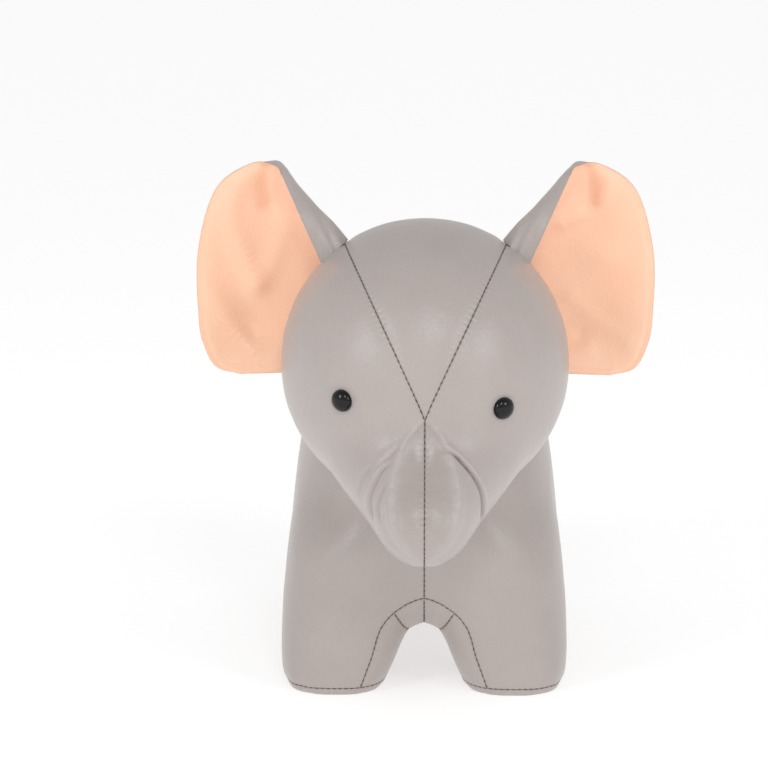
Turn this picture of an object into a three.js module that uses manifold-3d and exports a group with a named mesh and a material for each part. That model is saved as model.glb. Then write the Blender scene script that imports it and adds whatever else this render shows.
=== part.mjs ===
// A stuffed elephant in soft faux leather that stands on four stubby legs. Millimetres, +Z up.
// It faces -Y, so its own left side is at +X. Each leather panel is a thin closed solid with a
// narrow gap to its neighbours where the seams run, and the fibre filling is a solid inside them.
import * as THREE from "three";
import { mergeVertices } from "three/addons/utils/BufferGeometryUtils.js";
import Module from "manifold-3d";

const wasm = await Module();
wasm.setup();

// ---- driving dimensions ----
const LEATHER = 1.2; // skin thickness, backing cloth included
const GAP = 0.3; // clearance between neighbouring pieces
const SHIFT_Y = -38; // from the front feet's plane to a frame centred under the whole toy

const HEAD = { r: 58.2, y: -5, z: 145 }; // ball of the head: radius and centre
const HEAD_SEGMENTS = [24, 14];
const TRUNK_SIDES = 16;
const TORSO = { y: 77, z: 81, halfDepth: 78, halfHeight: 56.5, widthLow: 60.5, widthHigh: 48 };
const TORSO_SEGMENTS = [24, 12];
const TORSO_ROUNDNESS = { above: 0.66, below: 0.42, around: 0.68 }; // 1 is an ellipsoid, 0 a box
const LEG_X = 38; // centre of a foot from the mid plane
const LEG_DEPTH = 50; // a foot's size from front to back
const REAR_LEG_Y = 155; // rearmost line of the rear feet, from the front line of the front feet
const SOLE_SEAM = 2.4; // height of the seam round a sole
const EYE = { radius: 4.4, height: 2.8, forward: 48.7 };
// Each eye is set by hand, so one sits a little higher and wider than the other.
const EYE_PLACE = { left: { x: 30.2, down: 7.2 }, right: { x: 32.5, down: 4.7 } };
const STEM = { radius: 1.6, length: 11 };
const WASHER = { radius: 6, thickness: 1.4, depth: 3.2 };
const NECK_OPENING = 24; // radius of the opening in the head's skin where it joins the body
const EAR_LAYERS = { leather: 1.0, wadding: 1.4 };
const TAIL = { y: 158.3, z: 92, length: 46, radius: 2.6, tuft: 14 };

const colours = {
  grey: { color: 0xbab0ab, roughness: 0.45, metalness: 0 },
  peach: { color: 0xfdc8a5, roughness: 0.45, metalness: 0 },
  black: { color: 0x141315, roughness: 0.08, metalness: 0 },
  white: { color: 0xe9e7e2, roughness: 0.6, metalness: 0 },
  fibre: { color: 0xf2f0ea, roughness: 0.95, metalness: 0 },
};
const materials = Object.fromEntries(
  Object.entries(colours).map(([name, look]) => [name, new THREE.MeshStandardMaterial(look)]),
);

// ---- solids from geometry ----
// A closed geometry as a solid that can be joined and cut. A profile drawn the other way round is turned.
function solid(geometry) {
  const bare = new THREE.BufferGeometry();
  bare.setAttribute("position", geometry.getAttribute("position").clone());
  if (geometry.index) bare.setIndex(geometry.index.clone());
  const merged = mergeVertices(bare, 1e-3);
  const triangles = new Uint32Array(merged.index.array);
  const vertices = merged.attributes.position.array;
  const made = new wasm.Manifold(
    new wasm.Mesh({ numProp: 3, vertProperties: vertices, triVerts: triangles }),
  );
  if (made.volume() >= 0) return made;
  for (let i = 0; i < triangles.length; i += 3)
    [triangles[i + 1], triangles[i + 2]] = [triangles[i + 2], triangles[i + 1]];
  return new wasm.Manifold(
    new wasm.Mesh({ numProp: 3, vertProperties: vertices, triVerts: triangles }),
  );
}

const toy = new THREE.Group();
toy.position.y = SHIFT_Y;

function add(name, shape, material) {
  const mesh = shape.getMesh();
  const geometry = new THREE.BufferGeometry();
  geometry.setAttribute("position", new THREE.BufferAttribute(mesh.vertProperties, 3));
  geometry.setIndex(new THREE.BufferAttribute(mesh.triVerts, 1));
  geometry.computeVertexNormals();
  const piece = new THREE.Mesh(geometry, material);
  piece.name = name;
  toy.add(piece);
}

// A closed skin through rings of equally many points, with a flat fan on each end ring. The
// triangles on one side of the mid plane mirror those on the other.
function loft(rings) {
  const n = rings[0].length;
  const points = rings.flat();
  const triangles = [];
  for (let i = 0; i + 1 < rings.length; i++)
    for (let j = 0; j < n; j++) {
      const a = i * n + j, b = i * n + ((j + 1) % n);
      const across = points[a].x + points[b].x + points[a + n].x + points[b + n].x;
      if (across > 0) triangles.push(a, b, b + n, a, b + n, a + n);
      else triangles.push(a, b, a + n, b, b + n, a + n);
    }
  for (const start of [0, (rings.length - 1) * n]) {
    const centre = new THREE.Vector3();
    for (let j = 0; j < n; j++) centre.addScaledVector(points[start + j], 1 / n);
    points.push(centre);
    for (let j = 0; j < n; j++) {
      const a = start + j, b = start + ((j + 1) % n);
      triangles.push(...(start ? [a, b, points.length - 1] : [b, a, points.length - 1]));
    }
  }
  return solid(new THREE.BufferGeometry().setFromPoints(points).setIndex(triangles));
}

// A sheet with a thickness, from a grid of places given at its low and its high face.
function sheet(place, across, out, low, high) {
  const points = [];
  for (const offset of [low, high])
    for (let i = 0; i <= across; i++)
      for (let j = 0; j <= out; j++) points.push(place(i, j, offset));
  const half = points.length / 2;
  const index = (i, j) => i * (out + 1) + j;
  const triangles = [];
  for (let i = 0; i < across; i++)
    for (let j = 0; j < out; j++) {
      const [a, b, c, d] = [index(i, j), index(i + 1, j), index(i + 1, j + 1), index(i, j + 1)];
      triangles.push(a, c, b, a, d, c);
      triangles.push(half + a, half + b, half + c, half + a, half + c, half + d);
    }
  const border = [];
  for (let i = 0; i < across; i++) border.push(index(i, 0));
  for (let j = 0; j < out; j++) border.push(index(across, j));
  for (let i = across; i > 0; i--) border.push(index(i, out));
  for (let j = out; j > 0; j--) border.push(index(0, j));
  border.forEach((from, k) => {
    const to = border[(k + 1) % border.length];
    triangles.push(from, to, half + to, from, half + to, half + from);
  });
  return solid(new THREE.BufferGeometry().setFromPoints(points).setIndex(triangles));
}

// Signed power, which turns a circle into a rounded box outline.
const bulge = (value, power) => Math.sign(value) * Math.abs(value) ** power;

// An oval ring lying flat at height z, rounder or boxier by its power.
function oval(z, [x0, x1], [y0, y1], power = 0.72, points = 16) {
  const ring = [];
  for (let i = 0; i < points; i++) {
    const t = (2 * Math.PI * i) / points;
    ring.push(new THREE.Vector3(
      (x0 + x1) / 2 + ((x1 - x0) / 2) * bulge(Math.cos(t), power),
      (y0 + y1) / 2 + ((y1 - y0) / 2) * bulge(Math.sin(t), power),
      z,
    ));
  }
  return ring;
}

const mirrored = (shape) => shape.mirror([1, 0, 0]);
const bothSides = (shape) => shape.add(mirrored(shape));

// Half of space, as a big box on the +X side, kept off the mid plane by the given clearance.
function leftHalf(clear = GAP / 2) {
  const box = new THREE.BoxGeometry(200, 500, 500);
  box.translate(100 + clear, 0, 0);
  return solid(box);
}

// ---- the head: a ball that runs into a short drooping trunk ----
const headCentre = new THREE.Vector3(0, HEAD.y, HEAD.z);
// Cross-sections of the trunk as forward and down from the head's centre: the top point, the
// bottom point and the half width.
const trunkStations = [
  [[46, 0], [-4, -42], 44],
  [[55, -11], [8, -52], 40.5],
  [[60.5, -17], [22, -58.5], 34],
  [[67, -23.5], [35, -62], 28],
  [[75.5, -31.5], [48, -64], 22],
  [[84, -40.5], [60, -66.8], 16.4],
  [[86, -49.5], [70.5, -66.2], 9.6],
  [[84, -56], [77.5, -63.3], 3.6],
];

function headBall(inset) {
  const [around, rows] = HEAD_SEGMENTS;
  const rings = [];
  for (let i = 0; i <= rows; i++) {
    const rise = -Math.PI / 2 + (Math.PI * (i + 0.35)) / (rows + 0.7);
    const reach = (HEAD.r - inset) * Math.cos(rise);
    const ring = [];
    for (let j = 0; j < around; j++) {
      const turn = (2 * Math.PI * j) / around;
      ring.push(new THREE.Vector3(
        reach * Math.sin(turn), HEAD.y + reach * Math.cos(turn),
        HEAD.z + (HEAD.r - inset) * Math.sin(rise)));
    }
    rings.push(ring);
  }
  return loft(rings);
}

function trunk(inset) {
  const rings = trunkStations.map(([top, bottom, halfWidth], i) => {
    const middle = new THREE.Vector2((top[0] + bottom[0]) / 2, (top[1] + bottom[1]) / 2);
    const rise = new THREE.Vector2(top[0] - bottom[0], top[1] - bottom[1]).multiplyScalar(0.5);
    const shrink = 1 - inset / rise.length();
    if (i >= trunkStations.length - 2) middle.add(new THREE.Vector2(-rise.y, rise.x).setLength(inset));
    const ring = [];
    for (let k = 0; k < TRUNK_SIDES; k++) {
      const t = (2 * Math.PI * k) / TRUNK_SIDES;
      const f = middle.x + rise.x * shrink * Math.sin(t);
      const u = middle.y + rise.y * shrink * Math.sin(t);
      ring.push(new THREE.Vector3((halfWidth - inset) * Math.cos(t), HEAD.y - f, HEAD.z + u));
    }
    return ring;
  });
  return loft(rings);
}

const headForm = (inset) => headBall(inset).add(trunk(inset));

// The edge of the forehead gusset as angles round the head and half widths. From the point between
// the eyes it runs straight, as seen from in front and a little above, to the ears, then narrows
// over the crown to the neck.
const GUSSET = { tilt: 14, from: -23.6, to: 47.5, crownHalf: 32.8, neckHalf: 20, neckAngle: 215 };
function gussetEdge() {
  const edge = [];
  for (let i = 0; i <= 10; i++) {
    const half = (GUSSET.crownHalf * i) / 10;
    const seen = THREE.MathUtils.lerp(GUSSET.from, GUSSET.to, i / 10);
    const radius = Math.sqrt(HEAD.r ** 2 - half ** 2);
    edge.push([GUSSET.tilt + THREE.MathUtils.radToDeg(Math.asin(seen / radius)), half]);
  }
  const [last] = edge[edge.length - 1];
  for (let i = 1; i <= 7; i++)
    edge.push([
      THREE.MathUtils.lerp(last, GUSSET.neckAngle, i / 7),
      THREE.MathUtils.lerp(GUSSET.crownHalf, GUSSET.neckHalf, (i / 7) ** 1.5),
    ]);
  return edge;
}

// The wedge of space over the forehead gusset, grown sideways by the given amount.
function gussetWedge(grow) {
  const rings = gussetEdge().map(([degrees, width]) => {
    const angle = THREE.MathUtils.degToRad(degrees);
    const half = Math.max(width, 0.05) + grow;
    const at = (x, r) => new THREE.Vector3(
      x, HEAD.y - r * Math.cos(angle), HEAD.z + r * Math.sin(angle));
    return [at(-0.5, 30), at(half, 30), at(half, 90), at(-0.5, 90)];
  });
  return bothSides(loft(rings));
}

// A round bar from one point to another.
function bar(from, to, radius, sides = 16) {
  const along = to.clone().sub(from);
  const geometry = new THREE.CylinderGeometry(radius, radius, along.length(), sides);
  geometry.applyQuaternion(new THREE.Quaternion().setFromUnitVectors(
    new THREE.Vector3(0, 1, 0), along.clone().normalize()));
  const middle = from.clone().add(to).multiplyScalar(0.5);
  geometry.translate(middle.x, middle.y, middle.z);
  return solid(geometry);
}

// ---- the body: a rounded block on four legs ----
function torso(inset) {
  const [around, rows] = TORSO_SEGMENTS;
  const rings = [];
  for (let i = 1; i < rows; i++) {
    const rise = -Math.PI / 2 + (Math.PI * i) / rows;
    const power = rise < 0 ? TORSO_ROUNDNESS.below : TORSO_ROUNDNESS.above;
    const height = bulge(Math.sin(rise), power);
    const reach = bulge(Math.cos(rise), power);
    const width = THREE.MathUtils.mapLinear(height, -1, 1, TORSO.widthLow, TORSO.widthHigh);
    const ring = [];
    for (let j = 0; j < around; j++) {
      const turn = (2 * Math.PI * (j + 0.5)) / around;
      ring.push(new THREE.Vector3(
        (width - inset) * reach * bulge(Math.cos(turn), TORSO_ROUNDNESS.around),
        TORSO.y + (TORSO.halfDepth - inset) * reach * bulge(Math.sin(turn), TORSO_ROUNDNESS.around),
        TORSO.z + (TORSO.halfHeight - inset) * height,
      ));
    }
    rings.push(ring);
  }
  return loft(rings);
}

// One leg on the +X side, given as inner and outer x and the y reach at each height.
const legRings = [
  [0, 19, 56, 4, 46],
  [1.2, 17.4, 57.6, 2, 48],
  [6, 15.8, 59.4, 0, 50],
  [30, 5.4, 60, -0.5, 55],
  [44, 3, 59.5, -0.5, 60],
  [62, 6, 57, 0, 62],
  [80, 12, 48, 10, 58],
];

function leg(rear, inset) {
  const rings = legRings.map(([z, x0, x1, y0, y1], i) => {
    const height = i === 0 ? inset : z;
    const reach = rear ? [REAR_LEG_Y - y1 + inset, REAR_LEG_Y - y0 - inset] : [y0 + inset, y1 - inset];
    return oval(height, [x0 + inset, x1 - inset], reach);
  });
  return loft(rings);
}

function bodyForm(inset) {
  let form = torso(inset);
  for (const rear of [false, true]) {
    const one = leg(rear, inset);
    form = form.add(one).add(mirrored(one));
  }
  return form;
}

// The seam arch between side panels and the under panels, as a tunnel along y. Its half width at
// the floor is narrow at the front and rear faces and reaches the flanks between the legs.
const archStations = [
  [-30, 27, 41], [12, 27.5, 41], [30, 36, 40], [48, 42, 38], [60, 56, 36],
  [95, 56, 36], [107, 42, 38], [125, 36, 40], [143, 27.5, 41], [190, 27, 41],
];

function archTunnel(grow) {
  return bothSides(loft(archStations.map(([y, half, top]) => {
    const ring = [
      new THREE.Vector3(-0.5, y, top + grow), new THREE.Vector3(-0.5, y, -20),
      new THREE.Vector3(half + grow, y, -20),
    ];
    for (let i = 0; i <= 7; i++) {
      const t = (Math.PI / 2) * (i / 7);
      ring.push(new THREE.Vector3(
        (half + grow) * bulge(Math.cos(t), 1.3) * (1 - 0.12 * Math.sin(t)), y,
        (top + grow) * bulge(Math.sin(t), 0.75)));
    }
    return ring;
  })));
}

// The strip of the under panels that runs between the legs and widens to the flanks.
const beltStations = [
  [-30, 5, 18], [50, 5, 18], [60, 70, 70], [95, 70, 70], [105, 5, 18], [190, 5, 18],
];

function bellyBelt(grow) {
  return bothSides(loft(beltStations.map(([y, low, high]) => [
    new THREE.Vector3(-0.5, y, 22), new THREE.Vector3(low + grow, y, 22),
    new THREE.Vector3(high + grow, y, 46), new THREE.Vector3(-0.5, y, 46),
  ])));
}

function slab(y0, y1, z0, z1) {
  const box = new THREE.BoxGeometry(300, y1 - y0, z1 - z0);
  box.translate(0, (y0 + y1) / 2, (z0 + z1) / 2);
  return solid(box);
}

// ---- eyes: a glossy dome on a stem that passes through the skin into a washer ----
function placed(geometry, origin, outward) {
  geometry.applyQuaternion(new THREE.Quaternion().setFromUnitVectors(
    new THREE.Vector3(0, 1, 0), outward));
  geometry.translate(origin.x, origin.y, origin.z);
  return solid(geometry);
}

// The right eye is made on the +X side too, and mirrored with its cheek.
const eyeOutward = ({ x, down }) => new THREE.Vector3(x, -EYE.forward, -down).normalize();
const onSkin = (outward, r) => headCentre.clone().addScaledVector(outward, r);

function eye(outward) {
  const profile = [new THREE.Vector2(0, -STEM.length), new THREE.Vector2(STEM.radius, -STEM.length)];
  profile.push(new THREE.Vector2(STEM.radius, 0.1), new THREE.Vector2(EYE.radius, 0.1));
  for (let i = 1; i < 6; i++) {
    const t = (Math.PI / 2) * (i / 6);
    profile.push(new THREE.Vector2(EYE.radius * Math.cos(t), 0.1 + EYE.height * Math.sin(t)));
  }
  profile.push(new THREE.Vector2(0, 0.1 + EYE.height));
  return placed(new THREE.LatheGeometry(profile, 16), onSkin(outward, HEAD.r), outward);
}

function washer(outward, radius, hole, low, high) {
  const ring = [[hole, low], [radius, low], [radius, high], [hole, high], [hole, low]];
  const profile = ring.map(([r, h]) => new THREE.Vector2(r, h));
  return placed(new THREE.LatheGeometry(profile, 16), onSkin(outward, HEAD.r), outward);
}

// ---- ears: leather front and back with thin wadding between, cupped round their root ----
// Root of the +X ear round the head, then its rim, both from the front upper end to the lower
// end, as offsets from the head's centre.
const earRoot = [
  [43.5, 1, 41.5], [37.5, 8, 46.5], [36.5, 18, 44.5], [44, 26, 33.5], [51.5, 27, 18.5], [56, 23, 4.5], [58, 17, -8.5],
];
const earRim = [
  [57.5, 4, 75.5], [60.5, 10, 78.5], [69.5, 15, 78], [83, 18, 66.5], [92, 20, 41.5], [92.5, 19, 14],
  [91, 18, 3], [86, 17, -6], [76, 17, -9],
];
const EAR_CLEAR = 2.2; // between the root edge and the head, so that the ear can swing
const EAR_GRID = [11, 4];

function earPanel(low, high) {
  const curve = (points) => new THREE.CatmullRomCurve3(points.map((p) => new THREE.Vector3(...p)));
  const root = curve(earRoot), rim = curve(earRim);
  const [across, out] = EAR_GRID;
  const centre = (u, v) => {
    const from = root.getPoint(u);
    from.setLength(HEAD.r + EAR_CLEAR);
    const to = rim.getPoint(u);
    const p = from.lerp(to, v);
    p.y += 5 * Math.sin(Math.PI * v) * Math.sin(Math.PI * u);
    return p.add(headCentre);
  };
  const at = (u, v, offset) => {
    const step = 0.01;
    const du = centre(Math.min(u + step, 1), v).sub(centre(Math.max(u - step, 0), v));
    const dv = centre(u, Math.min(v + step, 1)).sub(centre(u, Math.max(v - step, 0)));
    return centre(u, v).addScaledVector(du.cross(dv).normalize(), offset);
  };
  return sheet((i, j, offset) => at(i / across, j / out, offset), across, out, low, high);
}

// ---- assembly ----
const headOuter = headForm(0);
const headSkin = headOuter.subtract(headForm(LEATHER));
const neckWay = bar(
  headCentre, new THREE.Vector3(0, HEAD.y + 60, HEAD.z - 50), NECK_OPENING, 20);
const stemWay = (outward) => bar(
  onSkin(outward, HEAD.r - STEM.length - 1), onSkin(outward, HEAD.r + 6), STEM.radius + GAP);
const washerWay = (outward) => washer(
  outward, WASHER.radius + GAP, STEM.radius + GAP / 2,
  -WASHER.depth - WASHER.thickness - GAP, -WASHER.depth + GAP);

add("forehead_gusset", headSkin.intersect(gussetWedge(0)).subtract(neckWay), materials.grey);
const cheek = headSkin.subtract(gussetWedge(GAP)).subtract(neckWay).intersect(leftHalf());
let headFilling = headForm(LEATHER + GAP);
for (const [side, turn] of [["left", (s) => s], ["right", mirrored]]) {
  const outward = eyeOutward(EYE_PLACE[side]);
  add(`head_side_${side}`, turn(cheek.subtract(stemWay(outward))), materials.grey);
  headFilling = headFilling.subtract(turn(stemWay(outward).add(washerWay(outward))));
  add(`eye_${side}`, turn(eye(outward)), materials.black);
  add(`eye_washer_${side}`, turn(washer(
    outward, WASHER.radius, STEM.radius + GAP / 2,
    -WASHER.depth - WASHER.thickness, -WASHER.depth)), materials.white);
  const { leather, wadding } = EAR_LAYERS;
  const half = wadding / 2 + GAP;
  add(`ear_front_${side}`, turn(earPanel(half, half + leather)), materials.peach);
  add(`ear_wadding_${side}`, turn(earPanel(-wadding / 2, wadding / 2)), materials.fibre);
  add(`ear_back_${side}`, turn(earPanel(-half - leather, -half)), materials.grey);
}
add("head_filling", headFilling, materials.fibre);

const headRoom = headForm(-GAP);
const bodySkin = bodyForm(0).subtract(bodyForm(LEATHER)).subtract(headRoom);
const upperSkin = bodySkin.subtract(slab(-50, 250, -20, SOLE_SEAM));
const flank = upperSkin.subtract(archTunnel(GAP)).intersect(leftHalf());
add("body_side_left", flank, materials.grey);
add("body_side_right", mirrored(flank), materials.grey);
const underSkin = upperSkin.intersect(archTunnel(0));
const belly = underSkin.intersect(bellyBelt(0)).intersect(leftHalf());
add("belly_left", belly, materials.grey);
add("belly_right", mirrored(belly), materials.grey);
const innerLegs = underSkin.subtract(bellyBelt(GAP)).intersect(leftHalf());
const soles = bodySkin.intersect(slab(-50, 250, -20, SOLE_SEAM - GAP));
for (const [end, y0, y1] of [["front", -50, 77], ["rear", 78, 250]]) {
  const quarter = slab(y0, y1, -30, 120);
  const inner = innerLegs.intersect(quarter);
  add(`inner_leg_${end}_left`, inner, materials.grey);
  add(`inner_leg_${end}_right`, mirrored(inner), materials.grey);
  const sole = soles.intersect(quarter).intersect(leftHalf());
  add(`sole_${end}_left`, sole, materials.grey);
  add(`sole_${end}_right`, mirrored(sole), materials.grey);
}
add("body_filling", bodyForm(LEATHER + GAP).subtract(headForm(-GAP)), materials.fibre);

// ---- tail: a rolled leather strip with a fringed tip, hanging down the rump ----
const tailTop = new THREE.Vector3(0, TAIL.y, TAIL.z);
const tailEnd = new THREE.Vector3(0, TAIL.y + 4, TAIL.z - TAIL.length);
add("tail_strip", bar(tailTop, tailEnd, TAIL.radius, 12), materials.grey);
const tailAlong = tailEnd.clone().sub(tailTop).normalize();
const tuftProfile = [[0, 0], [TAIL.radius, 0], [TAIL.radius * 1.7, 6], [TAIL.radius * 1.3, TAIL.tuft], [0, TAIL.tuft]]
  .map(([r, along]) => new THREE.Vector2(r, along));
add("tail_tuft", placed(
  new THREE.LatheGeometry(tuftProfile, 12),
  tailEnd.clone().addScaledVector(tailAlong, GAP), tailAlong), materials.grey);

export default toy;
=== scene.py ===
import math

import bpy
import numpy as np
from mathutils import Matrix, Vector, kdtree


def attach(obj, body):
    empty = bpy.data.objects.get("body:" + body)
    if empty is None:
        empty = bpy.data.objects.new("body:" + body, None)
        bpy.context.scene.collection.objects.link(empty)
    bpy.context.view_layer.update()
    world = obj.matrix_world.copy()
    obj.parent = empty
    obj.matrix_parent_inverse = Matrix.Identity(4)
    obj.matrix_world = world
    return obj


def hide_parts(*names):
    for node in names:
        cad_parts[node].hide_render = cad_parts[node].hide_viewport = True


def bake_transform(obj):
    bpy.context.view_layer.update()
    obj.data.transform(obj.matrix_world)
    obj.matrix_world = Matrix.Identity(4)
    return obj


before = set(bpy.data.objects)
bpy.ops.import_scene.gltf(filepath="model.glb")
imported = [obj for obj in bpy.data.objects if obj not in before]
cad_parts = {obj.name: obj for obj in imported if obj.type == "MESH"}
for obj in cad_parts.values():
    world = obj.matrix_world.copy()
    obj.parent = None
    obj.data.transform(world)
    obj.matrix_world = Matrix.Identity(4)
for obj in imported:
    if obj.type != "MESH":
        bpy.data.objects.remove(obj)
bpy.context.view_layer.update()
scene = bpy.context.scene


# ---- The studio: a pale floor, a bright room and two softboxes ----
# The toy stands on a wide, plain, pale floor. The room is white all round and a little dimmer
# overhead, with one large softbox to each side in front and a smaller one for the eyes.
class Wire:
    """A socket in a shader tree. Arithmetic on wires adds Math nodes."""

    def __init__(self, tree, socket=None):
        self.tree = tree
        self.socket = socket

    def node(self, kind, settings=None, sockets=None, out=0):
        made = self.tree.nodes.new(kind)
        for name, value in (settings or {}).items():
            setattr(made, name, value)
        for name, value in (sockets or {}).items():
            if isinstance(value, Wire):
                self.tree.links.new(value.socket, made.inputs[name])
            else:
                made.inputs[name].default_value = value
        return Wire(self.tree, made.outputs[out] if made.outputs else None)

    def maths(self, operation, first, second=0.0, third=0.0):
        sockets = {0: first, 1: second, 2: third}
        return self.node("ShaderNodeMath", {"operation": operation}, sockets)

    def __add__(self, other):
        return self.maths("ADD", self, other)

    __radd__ = __add__

    def __mul__(self, other):
        return self.maths("MULTIPLY", self, other)

    __rmul__ = __mul__

    def __sub__(self, other):
        return self.maths("SUBTRACT", self, other)

    def __rsub__(self, other):
        return self.maths("SUBTRACT", other, self)

    def between(self, low, high):
        """0 where this value is at low, 1 at high, smooth in between."""
        return self.node(
            "ShaderNodeMapRange",
            {"interpolation_type": "SMOOTHSTEP"},
            {"Value": self, "From Min": low, "From Max": high},
        )

    def tint(self, plain, tinted):
        """The plain colour where this value is 0 and the tinted one where it is 1."""
        return self.node(
            "ShaderNodeMix", {"data_type": "RGBA"}, {0: self, 6: plain, 7: tinted}, 2
        )


def paint(red, green, blue):
    """A colour given in the steps of a screen, as the shader's linear light."""
    steps = [c / 255 for c in (red, green, blue)]
    return [c / 12.92 if c < 0.04045 else ((c + 0.055) / 1.055) ** 2.4 for c in steps] + [1]


def new_finish(name):
    material = bpy.data.materials.new(name)
    material.use_nodes = True
    material.node_tree.nodes.clear()
    return material, Wire(material.node_tree)


def surface(wires, **sockets):
    """The Principled shader with these sockets, on the tree's output."""
    named = {name.replace("_", " "): value for name, value in sockets.items()}
    shader = wires.node("ShaderNodeBsdfPrincipled", {}, named)
    wires.node("ShaderNodeOutputMaterial", {}, {"Surface": shader})


ROOM_LIGHT = 0.715
ROOM_OVERHEAD = 0.50

room = bpy.data.worlds.new("white_room")
room.use_nodes = True
room.node_tree.nodes.clear()
wires = Wire(room.node_tree)
direction = wires.node("ShaderNodeTexCoord", out="Generated")
upward = wires.node("ShaderNodeSeparateXYZ", {}, {0: direction}, 2)
wall = [ROOM_LIGHT] * 3 + [1]
ceiling = [ROOM_OVERHEAD] * 3 + [1]
room_tone = upward.between(0.3, 1.0).tint(wall, ceiling)
glow = wires.node("ShaderNodeBackground", {}, {"Color": room_tone})
wires.node("ShaderNodeOutputWorld", {}, {"Surface": glow})
scene.world = room

FLOOR_HALF = 30.0
FLOOR_GREY = 0.62
FLOOR_GLOW = 0.56  # keeps the floor near white where the room's light falls off
floor_mesh = bpy.data.meshes.new("floor")
corners = [(-FLOOR_HALF, -FLOOR_HALF, 0), (FLOOR_HALF, -FLOOR_HALF, 0)]
corners += [(FLOOR_HALF, FLOOR_HALF, 0), (-FLOOR_HALF, FLOOR_HALF, 0)]
floor_mesh.from_pydata(corners, [], [(0, 1, 2, 3)])
floor = bpy.data.objects.new("floor", floor_mesh)
scene.collection.objects.link(floor)
floor_paint, wires = new_finish("floor_paint")
surface(
    wires,
    Base_Color=[FLOOR_GREY] * 3 + [1],
    Roughness=0.9,
    Emission_Color=[1, 1, 1, 1],
    Emission_Strength=FLOOR_GLOW,
)
floor_mesh.materials.append(floor_paint)


def softbox(name, place, aim, width, height, power):
    lamp = bpy.data.lights.new(name, "AREA")
    lamp.shape = "RECTANGLE"
    lamp.size = width
    lamp.size_y = height
    lamp.energy = power
    box = bpy.data.objects.new(name, lamp)
    scene.collection.objects.link(box)
    box.location = place
    box.rotation_mode = "QUATERNION"
    box.rotation_quaternion = (Vector(aim) - Vector(place)).to_track_quat("-Z", "Y")


LIT_PLACE = (0, -0.04, 0.13)  # the middle of the head, where the softboxes are aimed
BOX_WIDTH, BOX_HEIGHT = 0.42, 0.6
softbox("softbox_left", (-1.15, -1.05, 0.75), LIT_PLACE, BOX_WIDTH, BOX_HEIGHT, 4.3)
softbox("softbox_right", (1.15, -1.05, 0.75), LIT_PLACE, BOX_WIDTH, BOX_HEIGHT, 3.7)
softbox("softbox_eyes", (0.12, -1.1, 0.95), LIT_PLACE, 0.3, 0.42, 2.5)

LENS_LENGTH = 120.05
CAMERA_PLACE = (0, -1.0538, 0.3695)
CAMERA_AIM = (-0.0168, -0.0306, 0.1330)
lens = bpy.data.cameras.new("camera")
lens.sensor_width = 36
lens.lens = LENS_LENGTH
lens.clip_start = 0.05
lens.clip_end = 200
camera = bpy.data.objects.new("camera", lens)
scene.collection.objects.link(camera)
camera.location = CAMERA_PLACE
sight = Vector(CAMERA_AIM) - camera.location
camera.rotation_mode = "QUATERNION"
camera.rotation_quaternion = sight.to_track_quat("-Z", "Y")
scene.camera = camera
scene.view_settings.view_transform = "Standard"


# ---- The head: two cheeks and a forehead gusset over a ball of fibre ----
# The head is a ball that runs into a short drooping trunk. Its skin is soft faux leather on a
# cloth backing, cut as two sides and a long gusset that comes to a point between the eyes. The
# panels are sewn inside out, turned and stuffed tight, so they swell between their seams.
MM = 0.001
SKIN = 1.2  # leather and backing
HEAD = np.array([0.0, -43.0, 145.0])
HEAD_RADIUS = 58.2
# Sections of the trunk: forward and up of the top point, then of the bottom point, then the
# half width, from the head's centre.
TRUNK = np.array([
    [46, 0, -4, -42, 44],
    [55, -11, 8, -52, 40.5],
    [60.5, -17, 22, -58.5, 34],
    [67, -23.5, 35, -62, 28],
    [75.5, -31.5, 48, -64, 22],
    [84, -40.5, 60, -66.8, 17],
    [86, -49.5, 70.5, -66.2, 10.6],
    [84, -56, 77.5, -63.3, 3.6],
])
GUSSET_TILT = 14.0
GUSSET_SEEN = (-23.6, 47.5)  # height of its point and of its widest place, square to the tilt
GUSSET_CROWN = 32.8
GUSSET_NECK = (20.0, 215.0)  # half width and angle where it meets the neck
NECK_WAY = np.array([0.0, 60.0, -50.0])
NECK_RADIUS = 24.0
EYE_WAYS = {"left": np.array([30.2, -48.7, -7.2]), "right": np.array([-32.5, -48.7, -4.7])}


def through(rows, steps):
    """A smooth curve through the rows, with that many steps between one row and the next."""
    rows = np.asarray(rows, float)
    ends = np.vstack([2 * rows[0] - rows[1], rows, 2 * rows[-1] - rows[-2]])
    t = np.linspace(0, 1, steps, endpoint=False)[:, None]
    curve = []
    for a, b, c, d in zip(ends, ends[1:], ends[2:], ends[3:]):
        bend = 2 * a - 5 * b + 4 * c - d
        twist = 3 * b - a - 3 * c + d
        curve.append(b + 0.5 * t * (c - a + t * (bend + t * twist)))
    return np.vstack(curve + [rows[-1:]])


def closed_form(rings):
    """Points and faces of a closed loft through equal rings, with a fan on each end."""
    rows, around, _ = rings.shape
    points = [*rings.reshape(-1, 3), rings[0].mean(0), rings[-1].mean(0)]
    faces = []
    for j in range(around):
        k = (j + 1) % around
        for i in range(0, (rows - 1) * around, around):
            faces.append((i + j, i + k, i + around + k, i + around + j))
        faces.append((k, j, rows * around))
        faces.append(((rows - 1) * around + j, (rows - 1) * around + k, rows * around + 1))
    return points, faces


def in_triangles(points, faces):
    """The same form with its four-sided faces split in two, as arrays."""
    triangles = []
    for face in faces:
        triangles += [face[:3]] if len(face) == 3 else [face[:3], (face[0], face[2], face[3])]
    return np.array(points), np.array(triangles)


def applied(piece):
    """The piece's mesh with its modifiers applied."""
    shown = piece.evaluated_get(bpy.context.evaluated_depsgraph_get())
    mesh = bpy.data.meshes.new_from_object(shown)
    piece.modifiers.clear()
    piece.data = mesh
    return mesh


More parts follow.
